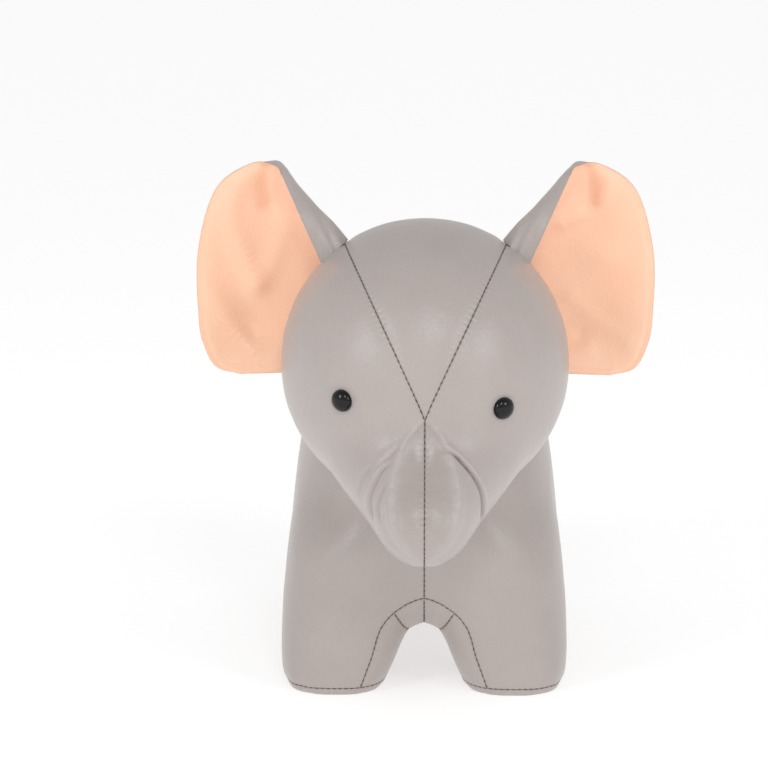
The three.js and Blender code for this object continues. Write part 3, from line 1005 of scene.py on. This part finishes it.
peach_leather = leather(
    "peach_leather", paint(253, 200, 168), paint(214, 150, 116), paint(254, 206, 176),
    paint(254, 214, 190), paint(240, 176, 138),
)


def spread_over(row, share):
    """Places at these shares of the way along a row of points."""
    at = share * (len(row) - 1)
    return np.stack([np.interp(at, range(len(row)), c) for c in row.T], 1)


def ear_sheet(side):
    """The ear's middle surface, its normals, and how far each place is from the sewn edge."""
    root_row = through(EAR_ROOT, 16)
    rim_row = through(EAR_RIM, 16)
    across, out = EAR_GRID
    share = np.linspace(0, 1, across + 1)
    root, rim = spread_over(root_row, share), spread_over(rim_row, share)
    root *= (HEAD_RADIUS - 0.6) / np.linalg.norm(root, axis=1, keepdims=True)
    v = np.linspace(0, 1, out + 1)[None, :, None]
    u = share[:, None, None]
    sheet = root[:, None] * (1 - v) + rim[:, None] * v
    sheet = sheet + np.array([0, 1, 0]) * 5 * np.sin(math.pi * v) * np.sin(math.pi * u)
    du, dv = np.gradient(sheet, axis=0), np.gradient(sheet, axis=1)
    normal = np.cross(du, dv)
    normal /= np.linalg.norm(normal, axis=2, keepdims=True)
    seen = sheet[..., [0, 2]].reshape(-1, 2)
    bend = np.zeros(len(seen))
    for line, height, width in EAR_FOLDS[side]:
        line = through(line, 6)
        gap = np.min([np.linalg.norm(seen - p, axis=1) for p in line], axis=0)
        bend += height * np.exp(-((gap / width) ** 2))
    spread = np.linalg.norm(rim - root, axis=1)
    edge_rim = (1 - v[..., 0]) * spread[:, None]
    length = along(sheet[:, out // 2])[:, None]
    edge = np.minimum(edge_rim, np.minimum(length, length[-1] - length))
    bend = bend.reshape(edge.shape) * np.clip(edge / 3, 0, 1)
    return sheet + normal * bend[..., None], normal, edge


def ear_face(outer, inner, flip):
    """A closed solid between two grids of the same size."""
    rows, columns, _ = outer.shape
    points = np.vstack([outer.reshape(-1, 3), inner.reshape(-1, 3)])
    number = np.arange(rows * columns).reshape(rows, columns)
    a, b = number[:-1, :-1].ravel(), number[1:, :-1].ravel()
    c, d = number[1:, 1:].ravel(), number[:-1, 1:].ravel()
    top = np.vstack([np.stack([a, b, c], 1), np.stack([a, c, d], 1)])
    half = rows * columns
    ring = np.concatenate([number[:, 0], number[-1, 1:], number[-2::-1, -1], number[0, -2:0:-1]])
    after = np.roll(ring, -1)
    walls = np.vstack([
        np.stack([after, ring, ring + half], 1), np.stack([after, ring + half, after + half], 1),
    ])
    faces = np.vstack([top, top[:, ::-1] + half, walls])
    if flip:
        faces = faces[:, ::-1]
    return points, faces


def make_ear(side):
    mirror = np.array([1 if side == "left" else -1, 1, 1])
    sheet, normal, edge = ear_sheet(side)
    full = 1 - np.exp(-edge / 3.0)
    half = EAR_EDGE + EAR_PUFF * full
    groove = 0.35 * np.exp(-((edge - 1.6) ** 2) / 0.5)
    rows, columns = edge.shape
    u = np.linspace(0, 1, rows)[:, None]
    v = np.linspace(0, 1, columns)[None, :]
    around_cuff = np.exp(-(((u - CUFF_PLACE) / 0.13) ** 2))
    cuff = CUFF_PUFF * around_cuff * np.clip(1.2 - v, 0, 1) * full
    pleats = PLEAT_DEPTH * np.cos(2 * math.pi * u / PLEAT_SPACING) * np.exp(-((v / 0.35) ** 2))
    cuff = cuff + pleats * np.exp(-(((u - CUFF_PLACE) / 0.1) ** 2)) * full
    layers = {"front": half - groove, "back": RIM_TUCK - half - cuff}
    for face, offset in layers.items():
        outer = HEAD + mirror * (sheet + normal * offset[..., None])
        inner = HEAD + mirror * (sheet + normal * np.sign(offset.mean()) * 0.02)
        points, faces = ear_face(outer, inner, (face == "front") != (side == "left"))
        material = peach_leather if face == "front" else grey_leather
        piece = build("ear_" + face + "_" + side + "_leaf", points, faces, material)
        # Painted shade: both leathers are painted a little darker at the sewn rim.
        near = np.clip(1 - edge.ravel() / 0.5, 0, 1) * 0.3
        mark(piece, "seam_painted_shade", np.tile(near, 2))
        mark(piece, "painted_light", np.zeros(len(points)))
        replaced = ["ear_" + face + "_" + side]
        if face == "front":
            replaced.append("ear_wadding_" + side)
        "ear_" + side
        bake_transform(piece)
        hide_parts(*replaced)
        ("peach" if face == "front" else "grey") + "_leather"


bend_from, bend_to = {}, {}
for side, sign in (("left", 1), ("right", -1)):
    mirror = np.array([sign, 1, 1])
    hinge = (HEAD + mirror * EAR_HINGE) * MM
    bend_from[side] = tuple(hinge)
    bend_to[side] = tuple(hinge + mirror * EAR_OUTWARD * EAR_BEND)
    make_ear(side)


# ---- The body: two sides, an under panel and four soles over fibre ----
# The body is one rounded block with four stubby legs. The two sides meet along the back and the
# chest. Under panels run down the inner faces of the legs and across the belly, and an oval sole
# closes each foot. It is the same grey leather, turned and stuffed tight like the head.
# Painted shade: a copy of the grey leather painted a little darker, for the body.
shaded_grey_leather = leather(
    "grey_leather_painted_shade", paint(170, 160, 156), paint(146, 135, 128), paint(176, 167, 163),
    paint(200, 192, 188), paint(112, 100, 94),
)
FEET_LINE = 38.0  # the front feet's line lies this far before the middle of the toy
TORSO = {"y": 39.0, "z": 81.0, "depth": 78.0, "height": 56.5, "low": 60.5, "high": 48.0}
ROUND_ABOVE, ROUND_BELOW, ROUND_ABOUT = 0.66, 0.42, 0.68
# Sections of a front left leg: height, inner and outer x, front and rear y from the feet's line.
LEG = np.array([
    [0, 16.4, 58.4, 2.5, 47.5],
    [1.2, 15.2, 59.6, 0.5, 49.5],
    [6, 14.2, 60.6, -0.5, 50.5],
    [30, 4.4, 60.4, -0.5, 55],
    [44, 3, 59.8, -0.5, 60],
    [62, 6, 57, 0, 62],
    [80, 12, 48, 10, 58],
])
REAR_LINE = 155.0
LEG_SWELL = 1.4
FOOT_SINK = 1.2  # the soles press this far into the floor's level before they are flattened on it
SOLE_SEAM = 3.0
# The arch seam: place from front to rear, half width at the floor, and height at the middle.
ARCH = np.array([
    [-30, 27, 42.4], [12, 27, 42], [30, 34, 40], [48, 42, 38], [60, 56, 36],
    [95, 56, 36], [107, 42, 38], [125, 34, 40], [143, 27, 42], [190, 27, 42],
])
# The belly strip: place from front to rear, half width at z 22 and at z 46.
BELT = np.array([
    [-30, 5, 18], [50, 5, 18], [60, 70, 70], [95, 70, 70], [105, 5, 18], [190, 5, 18],
])
# The arch seen from in front: height at the middle, over 41, and half width, over 27.
ARCH_SIDE = np.array([
    [-3, 27.2], [2.4, 26.6], [9, 24.2], [17, 21.3], [24, 19.4], [28, 18], [32, 15.2], [35, 12],
    [38.4, 7], [40.4, 2.6], [41, 0], [42, -4], [60, -60],
])
LEGS_PART = 77.5


def rounded(value, power):
    return np.sign(value) * np.abs(value) ** power


def torso_form():
    turn = np.linspace(0, 2 * math.pi, 96, endpoint=False)
    rings = []
    for rise in np.linspace(-math.pi / 2, math.pi / 2, 60)[1:-1]:
        power = ROUND_BELOW if rise < 0 else ROUND_ABOVE
        height = float(rounded(math.sin(rise), power))
        reach = float(rounded(math.cos(rise), power))
        width = TORSO["low"] + (TORSO["high"] - TORSO["low"]) * (height + 1) / 2
        x = width * reach * rounded(np.cos(turn), ROUND_ABOUT)
        y = TORSO["y"] + TORSO["depth"] * reach * rounded(np.sin(turn), ROUND_ABOUT)
        z = TORSO["z"] + TORSO["height"] * height
        rings.append(np.stack([x, y, np.full_like(x, z)], 1))
    return closed_form(np.array(rings))


def leg_form(side, rear):
    turn = np.linspace(0, 2 * math.pi, 48, endpoint=False)
    rings = []
    for z, x0, x1, y0, y1 in through(LEG, 5):
        if rear:
            y0, y1 = REAR_LINE - y1, REAR_LINE - y0
        x = (x0 + x1) / 2 + (x1 - x0) / 2 * rounded(np.cos(turn), 0.72)
        y = (y0 + y1) / 2 + (y1 - y0) / 2 * rounded(np.sin(turn), 0.72) - FEET_LINE
        rings.append(np.stack([side * x, y, np.full_like(x, z - FOOT_SINK * (z < 1))], 1))
    return closed_form(np.array(rings))


def under_arch(points):
    y = points[:, 1] + FEET_LINE
    half = np.interp(y, ARCH[:, 0], ARCH[:, 1])
    top = np.interp(y, ARCH[:, 0], ARCH[:, 2])
    side = np.interp(points[:, 2] * 41 / top, ARCH_SIDE[:, 0], ARCH_SIDE[:, 1])
    return np.abs(points[:, 0]) - side * half / 27


def beside_belly(points):
    y = points[:, 1] + FEET_LINE
    low = np.interp(y, BELT[:, 0], BELT[:, 1])
    high = np.interp(y, BELT[:, 0], BELT[:, 2])
    rise = np.clip((points[:, 2] - 22) / 24, -0.4, 1.2)
    return np.abs(points[:, 0]) - np.maximum(low + (high - low) * rise, 0.5)


def above_sole(points):
    return points[:, 2] - SOLE_SEAM


HEAD_OVERLAP = 2.5  # the body's skin runs this far in under the head's


def outside_head(points):
    return np.linalg.norm(points - HEAD, axis=1) - (HEAD_RADIUS - HEAD_OVERLAP)


def body_seam_distance(points):
    above = above_sole(points)
    arch = under_arch(points)
    belly = beside_belly(points)
    gap = np.abs(above)
    gap = np.minimum(gap, np.where(above > -1, distance_to(under_arch, points), 99))
    inside = (above > -1) & (arch < 1)
    gap = np.minimum(gap, np.where(inside, distance_to(beside_belly, points), 99))
    middle = (arch > -1) | (belly < 1)
    return np.minimum(gap, np.where(middle, np.abs(points[:, 0]), 99))


body_lofts = [torso_form()]
for side in (1, -1):
    body_lofts += [leg_form(side, rear) for rear in (False, True)]


def above_feet(points):
    """How much each place is rounded: hardly at the feet, fully where the legs join the body."""
    return 0.02 + 0.5 * np.clip((points[:, 2:] - 14) / 26, 0, 1)


body_core, body_points, body_triangles = stuffed_form(
    "body", body_lofts, body_seam_distance, 30, above_feet
)


def body_mesh_length(points):
    return np.where(body_seam_distance(points) < 2.6, 0.8, 2.2)


body_points, body_triangles = refine(body_points, body_triangles, body_mesh_length)
body_points, body_triangles = cut_along(
    body_points,
    body_triangles,
    [above_sole, under_arch, beside_belly, middle_plane, outside_head],
)

PANELS = ["body_side", "belly", "inner_leg_front", "inner_leg_rear", "sole_front", "sole_rear"]
middles = body_points[body_triangles].mean(1)
rear = middles[:, 1] > LEGS_PART - FEET_LINE
kind = np.where(beside_belly(middles) < 0, 1, np.where(rear, 3, 2))
kind = np.where(under_arch(middles) > 0, 0, kind)
kind = np.where(above_sole(middles) < 0, np.where(rear, 5, 4), kind)
body_label = kind * 2 + (middles[:, 0] < 0)
COVERED = 99
body_label = np.where(outside_head(middles) < 0, COVERED, body_label)
body_seams = seam_lines(body_points, body_triangles, body_label, COVERED)
seam_gap, seam_run = sewn_shape(body_points, body_seams)
body_normals = normals_of(body_points, body_triangles)
# The front legs swell at their tops. The leather is painted a little paler over the chest, as
# painted light in the shade under the head, and on the leg tops, as a painted highlight.
front = np.clip(-20 - body_points[:, 1], 0, 10) / 10
swell_gap = np.hypot((np.abs(body_points[:, 0]) - 29) / 11, (body_points[:, 2] - 62) / 12)
leg_top = np.exp(-(swell_gap**2)) * front
chest_painted_light = np.exp(-(((body_points[:, 2] - 92) / 20) ** 2)) * front
body_relief = seam_relief(seam_gap, seam_run) + LEG_SWELL * leg_top
body_points = body_points + body_normals * body_relief[:, None]
body_points[:, 2] = np.maximum(body_points[:, 2], 0.05)
body_normals = normals_of(body_points, body_triangles)
# Painted light: paler over the chest and a painted highlight on the leg tops.
body_painted_light = 0.22 * chest_painted_light + 0.15 * leg_top
body_marks = {"seam_painted_shade": seam_shade(seam_gap), "painted_light": body_painted_light}

for i, kind_name in enumerate(PANELS):
    for j, side in enumerate(("left", "right")):
        chosen = body_triangles[body_label == 2 * i + j]
        name = kind_name + "_" + side
        piece = panel(name + "_skin", body_points, body_normals, chosen, body_marks, shaded_grey_leather)
        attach(piece, "body")
        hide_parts(name)

filling("body_stuffing", body_core, "body_filling")
sew("body_stitches", body_points, body_normals, body_seams)


# ---- The tail: a rolled strip with a cut fringe ----
# A strip of the grey leather is rolled and glued into a cord, sewn into the back seam at its top.
# Its lower end is cut into a fringe. It hangs free and can be lifted.
TAIL_TOP = np.array([0.0, 120.3, 92.0])
TAIL_END = np.array([0.0, 124.3, 46.0])
TAIL_RADIUS = 2.6
TUFT_LENGTH = 14.0
TONGUES = 11


def tail_strip():
    """A tube whose outside steps where the rolled strip overlaps itself."""
    turn = np.linspace(0, 2 * math.pi, 40, endpoint=False)
    rings = []
    for share in np.linspace(0, 1, 60):
        middle = TAIL_TOP + (TAIL_END - TAIL_TOP) * share
        middle = middle + np.array([0, 0.8 * math.sin(math.pi * share), 0])
        overlap = (turn - 1.2 - 0.9 * share) % (2 * math.pi)
        radius = TAIL_RADIUS * (0.86 + 0.16 * overlap / (2 * math.pi))
        radius = radius * (1 - 0.5 * max(0, 0.02 - share) / 0.02)
        ring = np.stack([radius * np.cos(turn), radius * np.sin(turn), 0 * turn], 1)
        rings.append(middle + ring)
    return in_triangles(*closed_form(np.array(rings)))


def fringe():
    """Flat tapered tongues of leather that hang from the end of the strip and spread a little."""
    points, faces = [], []
    for i in range(TONGUES):
        angle = 2 * math.pi * i / TONGUES
        outward = np.array([math.cos(angle), math.sin(angle), 0])
        aside = np.array([-math.sin(angle), math.cos(angle), 0])
        length = TUFT_LENGTH * (1 - 0.12 * ((i * 5) % 3))
        rings = []
        for share in np.linspace(0, 1, 12):
            spread = TAIL_RADIUS * (0.75 + 0.75 * share**0.8 + 0.1 * ((i * 7) % 4) * share)
            middle = TAIL_END + outward * spread + np.array([0, 0, 1.5 - length * share])
            half = 0.85 * (1 - 0.55 * share**2)
            thick = 0.4
            ring = [(half, thick), (-half, thick), (-half, -thick), (half, -thick)]
            rings.append([middle + aside * a + outward * b for a, b in ring])
        form, form_faces = closed_form(np.array(rings))
        faces += [tuple(k + len(points) for k in face) for face in form_faces]
        points += form
    return in_triangles(points, faces)


for name, make in (("tail_strip", tail_strip), ("tail_tuft", fringe)):
    form, faces = make()
    piece = build(name + "_leather", form, faces, grey_leather)
    mark(piece, "seam_painted_shade", np.zeros(len(form)))
    mark(piece, "painted_light", np.zeros(len(form)))
    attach(piece, "tail")
    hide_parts(name)
